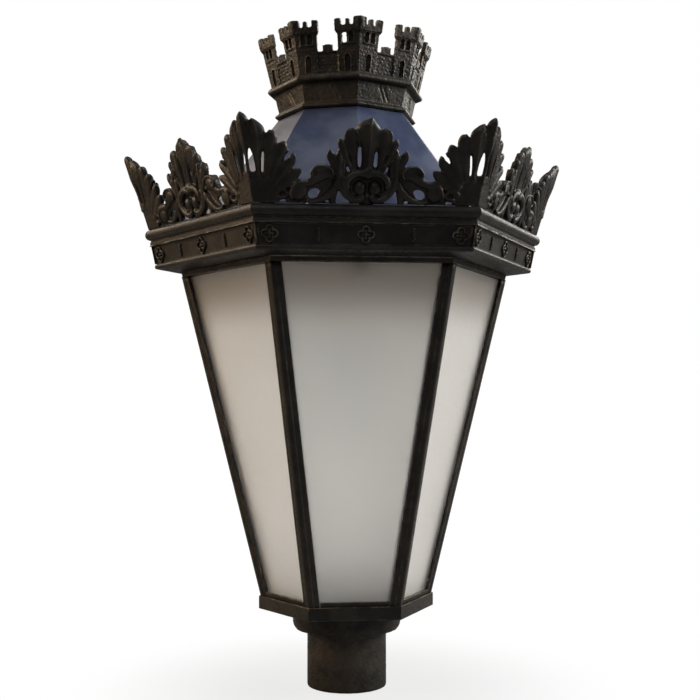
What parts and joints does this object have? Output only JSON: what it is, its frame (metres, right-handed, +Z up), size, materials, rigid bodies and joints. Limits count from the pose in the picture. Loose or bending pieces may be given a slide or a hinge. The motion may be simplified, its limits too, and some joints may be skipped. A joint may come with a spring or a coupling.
{
  "type": "street lamp",
  "caption": "Post-top street lantern: hexagonal frosted-glass cage on a sleeve, hinged hood with a pierced crest, eight-sided roof and castle crown.",
  "frame": {"origin": "centre of the sleeve's lower mouth, on the bore's axis", "axes": "+Z up along the lamp, the front pane faces -Y, the hinge is at +Y"},
  "size_m": [0.5252, 0.455, 0.7641],
  "materials": {
    "cast_metal": "sand cast, patinated black bronze, worn at the edges",
    "roof_paint": "dark slate blue paint on sheet, lightly weathered",
    "opal_glass": "frosted opal",
    "zinc_steel": "zinc plated",
    "white_paint": "baked white enamel",
    "gland_plastic": "moulded black nylon",
    "gear_steel": "varnished steel case",
    "gear_plastic": "moulded",
    "porcelain": "glazed",
    "brass": "rolled thread",
    "clear_glass": "clear",
    "arc_ceramic": "sintered ceramic"
  },
  "bodies": {
    "cage": {"base_casting": "cast_metal", "set_screws": "zinc_steel", "base_tray": "cast_metal", "tray_bolts": "zinc_steel", "cable_gland": "gland_plastic", "bottom_rails": "cast_metal", "mullion_1": "cast_metal", "mullion_2": "cast_metal", "mullion_3": "cast_metal", "mullion_4": "cast_metal", "mullion_5": "cast_metal", "mullion_6": "cast_metal", "pane_1": "opal_glass", "pane_2": "opal_glass", "pane_3": "opal_glass", "pane_4": "opal_glass", "pane_5": "opal_glass", "pane_6": "opal_glass", "glazing_beads": "cast_metal", "top_frame": "cast_metal", "frame_screws": "zinc_steel", "hinge_frame_leaf": "cast_metal", "frame_leaf_screws": "zinc_steel", "hinge_pin": "zinc_steel", "catch_spring": "zinc_steel"},
    "hood": {"hinge_lid_leaf": "cast_metal", "lid_leaf_screws": "zinc_steel", "frieze_ring": "cast_metal", "frieze_rosettes": "cast_metal", "frieze_spindles": "cast_metal", "crest_1": "cast_metal", "crest_2": "cast_metal", "crest_3": "cast_metal", "crest_4": "cast_metal", "crest_5": "cast_metal", "crest_6": "cast_metal", "crest_screws": "zinc_steel", "roof_apron": "roof_paint", "roof_screws": "zinc_steel", "roof_cover": "roof_paint", "collar_casting": "cast_metal", "crown_castle": "cast_metal", "tie_rod": "zinc_steel", "tie_nuts": "zinc_steel", "gear_tray": "white_paint", "gear_tray_screws": "zinc_steel", "ballast": "gear_steel", "ignitor": "gear_plastic", "terminal_block": "gear_plastic", "holder_bracket": "white_paint", "lampholder": "porcelain", "lamp_cap": "brass", "lamp_glass": "clear_glass", "arc_tube": "arc_ceramic", "catch_peg": "zinc_steel"}
  },
  "joints": [
    {"name": "hood_hinge", "type": "hinge", "parent": "cage", "child": "hood", "pos_m": [0, 0.17727, 0.4801], "axis": [-1, 0, 0], "range_deg": [0, 100]}
  ]
}
